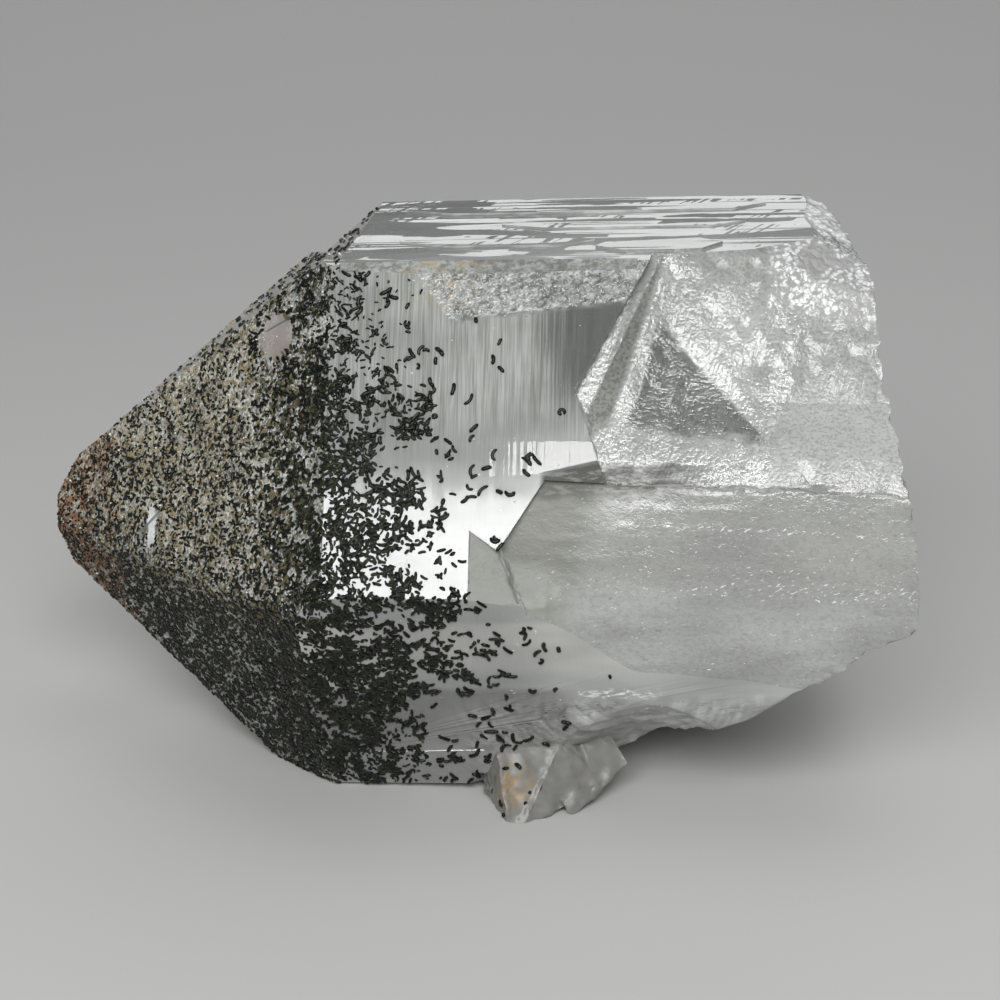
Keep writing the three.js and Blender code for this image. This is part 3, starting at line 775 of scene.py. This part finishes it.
# Small sharp bits of quartz that catch the light: grit among the chlorite, and flakes along the belly
# whose white colour is partly a painted glint.
gritLooks = {
    "quartz_grit": {"count": 800, "size": (0.03, 0.10), "stretch": (1.0, 1.5), "flat": 1.2, "seed": 47},
    "quartz_flakes": {"count": 900, "size": (0.02, 0.05), "stretch": (1.3, 4.5), "flat": 0.8, "seed": 53},
}
gritForm = {"height": 0.25, "turn": (0.25, 0.45), "wobble": (0.8, 1.2)}  # turn: its middle and spread
gritFinish = {"tint": (0.80, 0.81, 0.78), "shade": 0.45, "gloss": 0.12}


def grainEdge(spot):
    # How far from the point the grains reach, by height: further down the front, less near the top.
    up = spot.dot(frontUp)
    if up > -14:
        heights, reach = (-14, -5, 0, 3, 6.5, 10, 13), (1.0, 0.0, -1.5, -3.5, -7.0, -9.5, -10.5)
        return float(np.interp(up, heights, reach))
    return float(np.interp(spot.z, (-19, -10, -5, -1, 4), (-4.5, -3.0, 1.0, 1.5, 1.0)))


def grainShare(zone, spot, normal):
    # How much of the skin the grains cover at this spot, from 0 to 1.
    wander = noise.noise(spot / 4.5)
    clump = noise.noise(spot / 1.5 + Vector((9, 2, 5)))
    inside = grainEdge(spot) + 2.5 * wander - spot.x
    facing = smoothStep(-normal.y, 0.05, 0.5)
    clear = smoothStep((spot - Vector(roseWindow)).length, 1.6, 2.1)
    ledge = spot - Vector(brightLedge)
    clear *= smoothStep(Vector((ledge.x * 2.2, ledge.y * 0.8, ledge.z * 0.8)).length, 1.0, 1.5)
    if zone == "foot":
        return smoothStep((spot - Vector(rustSpot)).length, 3.2, 1.0) * smoothStep(-normal.y, 0.1, 0.4)
    if zone == "point":
        share = smoothStep(-5.0 + 3 * wander - spot.x, -2, 6.0) * (0.10 + 0.90 * facing)
        return share * (1 - 0.40 * smoothStep(spot.z, 2, 12)) * (0.85 + 0.6 * clump) * clear
    if zone == "rim":
        share = smoothStep(inside, -1.5, 4.5) * smoothStep(spot.x, -20, -8) * (0.06 + 0.94 * facing)
        return share * min(0.75, 0.36 + 1.4 * clump + 0.35 * smoothStep(inside, 2, 7)) * clear
    share = smoothStep(inside, -12.5, -1.0) * smoothStep(spot.x, -14, -8) * facing
    return share * min(0.6, max(0.0, 0.10 + 1.8 * clump))


def flatSkin():
    bm = bmesh.new()
    bm.from_mesh(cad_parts["quartz_crystal"].data)
    bm.transform(lying)
    bmesh.ops.triangulate(bm, faces=bm.faces)
    bm.normal_update()
    tree = BVHTree.FromBMesh(bm)
    corners = np.array([[v.co[:] for v in f.verts] for f in bm.faces])
    normals = np.array([f.normal[:] for f in bm.faces])
    areas = np.array([f.calc_area() for f in bm.faces])
    kinds = [skinOf(f.normal, f.calc_center_median()) for f in bm.faces]
    bm.free()
    return tree, corners, normals, areas, kinds


skinTree, skinCorners, skinNormals, skinAreas, skinKinds = flatSkin()
triesPerSpot = 25


def scatterSpots(rng, count, zone, share, kinds):
    # Spots on the skin and its normal there, more of them where the share is high.
    wanted = [kind in kinds for kind in skinKinds]
    weights = skinAreas * wanted
    chosen = rng.choice(len(weights), size=count * triesPerSpot, p=weights / weights.sum())
    a, b = rng.random((2, len(chosen), 1))
    flip = a + b > 1
    a, b = np.where(flip, 1 - a, a), np.where(flip, 1 - b, b)
    corner = skinCorners[chosen]
    spots = corner[:, 0] + a * (corner[:, 1] - corner[:, 0]) + b * (corner[:, 2] - corner[:, 0])
    luck = rng.random(len(chosen))
    kept = []
    for index, spot in enumerate(spots):
        normal = Vector(skinNormals[chosen[index]])
        if luck[index] < share(zone, Vector(spot), normal):
            kept.append((Vector(spot), normal))
        if len(kept) == count:
            break
    return kept


def makeGrains(name, look):
    rng = np.random.default_rng(look["seed"])
    rings, sides = look["rings"], look["sides"]
    points = []
    faces = []
    tones = []
    kinds = ("broken",) if look["zone"] == "foot" else ("pointFace", "clearFront", "rearSide")
    for spot, normal in scatterSpots(rng, look["count"], look["zone"], grainShare, kinds):
        length = rng.uniform(*look["length"])
        radius = rng.uniform(*look["thick"])
        heading = rng.uniform(0, 2 * math.pi)
        bend = rng.normal(0, look["bend"])
        tone = rng.random()
        u = normal.orthogonal().normalized()
        v = normal.cross(u)
        step = length / (rings - 1)
        centre = spot - (u * math.cos(heading) + v * math.sin(heading)) * (length / 2)
        start = len(points)
        for ring in range(rings):
            way = u * math.cos(heading) + v * math.sin(heading)
            near = skinTree.find_nearest(centre)
            up = near[1]
            middle = near[0] + up * radius * grainForm["height"]
            out = way.cross(up).normalized()
            ends = ring in (0, rings - 1)
            size = radius * (grainForm["end"] if ends else rng.uniform(*grainForm["wobble"]))
            if ring == 0:
                points.append(middle - way * radius * grainForm["tip"])
            for side in range(sides):
                angle = 2 * math.pi * (side + 0.5) / sides
                points.append(middle + (up * math.cos(angle) + out * math.sin(angle)) * size)
            if ring == rings - 1:
                points.append(middle + way * radius * grainForm["tip"])
            centre = centre + way * step
            heading += bend / rings
        for side in range(sides):
            after = (side + 1) % sides
            faces.append((start, start + 1 + after, start + 1 + side))
            for ring in range(rings - 1):
                low = start + 1 + ring * sides
                faces.append((low + side, low + after, low + sides + after, low + sides + side))
            last = start + 1 + (rings - 1) * sides
            faces.append((last + side, last + after, last + sides))
        tones += [tone] * (rings * sides + 2)
    mesh = bpy.data.meshes.new(name)
    placed = [standing @ p for p in points]
    for spot in placed:
        spot.z = max(spot.z, 0.0)
    mesh.from_pydata(placed, [], faces)
    tint = mesh.attributes.new("grainTone", "FLOAT", "POINT")
    tint.data.foreach_set("value", tones)
    mesh.polygons.foreach_set("use_smooth", [True] * len(mesh.polygons))
    piece = bpy.data.objects.new(name, mesh)
    scene.collection.objects.link(piece)
    return piece


chloriteLook = {
    "dark": (0.004, 0.005, 0.003),
    "green": (0.016, 0.019, 0.010),
    "tan": (0.30, 0.25, 0.145),
    "rust": (0.20, 0.095, 0.045),
    "gloss": 0.15,
    "shine": 0.22,
}


def chloriteMaterial():
    s = Shader("chlorite")
    spot = inCrystal(s)
    x, z = s.axis(spot, "X"), s.axis(spot, "Z")
    tone = s.node("ShaderNodeAttribute", {"attribute_name": "grainTone"}, {}, "Fac")
    green = s.blend(s.smooth(tone, 0.25, 1.0), chloriteLook["dark"], chloriteLook["green"])
    high = s.smooth(z, -5, 2)
    wander = 5 * s.noise(spot, 0.4, 1)
    dry = s.smooth(x + wander, -6, -20) * s.smooth(tone, 0.68, 0.86) * high
    rusty = s.smooth(x + wander, -27.5, -31) * s.smooth(tone, 0.55, 0.7) * 0.75
    skin = s.blend(rusty, s.blend(dry, green, chloriteLook["tan"]), chloriteLook["rust"])
    body = s.node("ShaderNodeBsdfPrincipled", {}, {
        "Base Color": skin, "Roughness": chloriteLook["gloss"],
        "Specular IOR Level": chloriteLook["shine"]})
    return s.finish(body)


def gritShare(zone, spot, normal):
    # Everywhere on the upper point face, thinner on the front face, more along the sugary edge.
    up = spot.dot(frontUp)
    if zone == "quartz_flakes":
        return flakeShare(spot, normal)
    if spot.x < -9:
        return 0.30 if normal.z > 0.1 and normal.y < -0.3 else 0.03
    if up < -14:
        return 0.0
    sugar = smoothStep(up, 9.5, 11.5) * smoothStep(spot.x, -6, -3)
    return (0.04 + 0.35 * sugar) * smoothStep(-normal.y, 0.05, 0.5)


def flakeShare(spot, normal):
    # Tiny steps along the belly, white as painted glints: one dense band, a thin line above it and a
    # bright lower edge.
    if normal.y > -0.3 or spot.x < 2 or spot.z > 8.5:
        return 0.0
    flow = spot.z + 0.06 * spot.x + 0.7 * noise.noise(Vector((spot.x * 0.2, spot.z * 0.3, 1.0)))
    clump = noise.noise(spot / 0.9)
    band = smoothStep(flow, 1.3, 1.9) * smoothStep(flow, 5.0, 2.6) * smoothStep(spot.x, 4, 26)
    line = smoothStep(abs(flow - 7.0), 0.35, 0.08) * smoothStep(spot.x, 11, 13)
    low = smoothStep(abs(spot.z + 8.6), 0.7, 0.2)
    low *= smoothStep(spot.x, 8, 10) * smoothStep(spot.x, 15, 12.5)
    share = 0.02 + 0.25 * band + 0.5 * line + 0.7 * low
    return share * max(0.0, 0.25 + 2.6 * clump)


def builtSkin():
    mesh = crystal.data
    spots = [lying @ vertex.co for vertex in mesh.vertices]
    return BVHTree.FromPolygons(spots, [tuple(face.vertices) for face in mesh.polygons])


def makeGrit(name, look, tree, finish):
    rng = np.random.default_rng(look["seed"])
    kinds = ("pointFace", "clearFront") if name == "quartz_grit" else ("belly", "clearFront")
    points = []
    faces = []
    for spot, normal in scatterSpots(rng, look["count"], name, gritShare, kinds):
        size = rng.uniform(*look["size"])
        stretch = rng.uniform(*look["stretch"])
        foot, up = tree.find_nearest(spot)[:2]
        way = Vector((1, 0, 0)) - up * up.x
        way.rotate(Matrix.Rotation(-rng.normal(*gritForm["turn"]), 3, up))
        way.normalize()
        out = up.cross(way)
        centre = foot + up * size * gritForm["height"]
        start = len(points)
        tall = up * look["flat"]
        for corner in (way * stretch, way * -stretch, out, -out, tall, -tall):
            points.append(centre + corner * size * rng.uniform(*gritForm["wobble"]))
        for a, b in ((0, 2), (2, 1), (1, 3), (3, 0)):
            faces.append((start + a, start + b, start + 4))
            faces.append((start + b, start + a, start + 5))
    mesh = bpy.data.meshes.new(name)
    placed = [standing @ p for p in points]
    for spot in placed:
        spot.z = max(spot.z, 0.0)
    mesh.from_pydata(placed, [], faces)
    mesh.materials.append(finish)
    piece = bpy.data.objects.new(name, mesh)
    scene.collection.objects.link(piece)
    return piece


def gritMaterial():
    s = Shader("quartz_grit")
    mixed = s.smooth(s.noise(inCrystal(s), 2.0, 1), 0.42, 0.58)
    tint = s.blend(mixed, gritFinish["tint"], tuple(x * gritFinish["shade"] for x in gritFinish["tint"]))
    return s.finish(s.node("ShaderNodeBsdfPrincipled", {}, {
        "Base Color": tint, "Roughness": gritFinish["gloss"], "IOR": clearQuartz["ior"]}))


chlorite = chloriteMaterial()
for grainName, grainLook in grainLooks.items():
    grains = makeGrains(grainName, grainLook)
    grains.data.materials.append(chlorite)
    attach(grains, "root")
    print(grainName + ":", len(grains.data.polygons), "faces")
gritSkin = builtSkin()
sparkle = gritMaterial()
for gritName, gritLook in gritLooks.items():
    grit = makeGrit(gritName, gritLook, gritSkin, sparkle)
    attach(grit, "root")
    print(gritName + ":", len(grit.data.polygons), "faces")


# Studio: a pale floor and a soft sky, with a wide and a small softbox in front, a wide one behind and
# one overhead.
studio = {
    "floor": (0.564, 0.564, 0.5535),
    "floorSize": 3.0,
    "floorGloss": 0.75,
    "sky": (0.60, 0.61, 0.63),
    "skyStrength": 0.26,
    "lights": {
        "front_box": {"at": (0.017, -0.40, 0.262), "to": (0.017, -0.02, 0.030), "size": (0.30, 0.156),
                      "power": 1.9},
        "small_box": {"at": (0.122, -0.3375, 0.3644), "to": (0.02, -0.02, 0.03), "size": (0.10, 0.07),
                      "power": 0.27},
        "back_box": {"at": (-0.09, 0.62, 0.298), "to": (-0.09, 0, 0.298), "size": (0.70, 0.30),
                     "power": 0.95},
        "top_box": {"at": (0.10, 0.05, 0.70), "to": (0, 0, 0), "size": (0.5, 0.5), "power": 0.6},
    },
    "cameraAt": (0.0299, -0.2260, 0.0961),
    "azimuth": 7.126,
    "elevation": 18.395,
    "lens": 104.4,
}


def makeFloor():
    half = studio["floorSize"] / 2
    mesh = bpy.data.meshes.new("floor")
    corners = [(-half, -half, 0), (half, -half, 0), (half, half, 0), (-half, half, 0)]
    mesh.from_pydata(corners, [], [(0, 1, 2, 3)])
    floor = bpy.data.objects.new("floor", mesh)
    scene.collection.objects.link(floor)
    s = Shader("pale_floor")
    mesh.materials.append(s.finish(s.node("ShaderNodeBsdfPrincipled", {}, {
        "Base Color": colour(studio["floor"]), "Roughness": studio["floorGloss"]})))


def makeLights():
    for name, plan in studio["lights"].items():
        light = bpy.data.lights.new(name, "AREA")
        light.shape = "RECTANGLE"
        light.size, light.size_y = plan["size"]
        light.energy = plan["power"]
        lamp = bpy.data.objects.new(name, light)
        lamp.location = plan["at"]
        lamp.rotation_euler = (Vector(plan["to"]) - Vector(plan["at"])).to_track_quat("-Z", "Y").to_euler()
        scene.collection.objects.link(lamp)
    world = bpy.data.worlds.new("studio")
    world.use_nodes = True
    background = world.node_tree.nodes["Background"]
    background.inputs["Color"].default_value = (*studio["sky"], 1)
    background.inputs["Strength"].default_value = studio["skyStrength"]
    scene.world = world
    scene.view_settings.view_transform = "Standard"


def makeCamera():
    camera = bpy.data.objects.new("camera", bpy.data.cameras.new("camera"))
    camera.data.lens = studio["lens"]
    camera.data.sensor_width = 36
    camera.data.clip_start = 0.01
    camera.location = studio["cameraAt"]
    camera.rotation_euler = (math.radians(90 - studio["elevation"]), 0, math.radians(studio["azimuth"]))
    scene.collection.objects.link(camera)
    scene.camera = camera


makeFloor()
makeLights()
makeCamera()
print("studio ready")
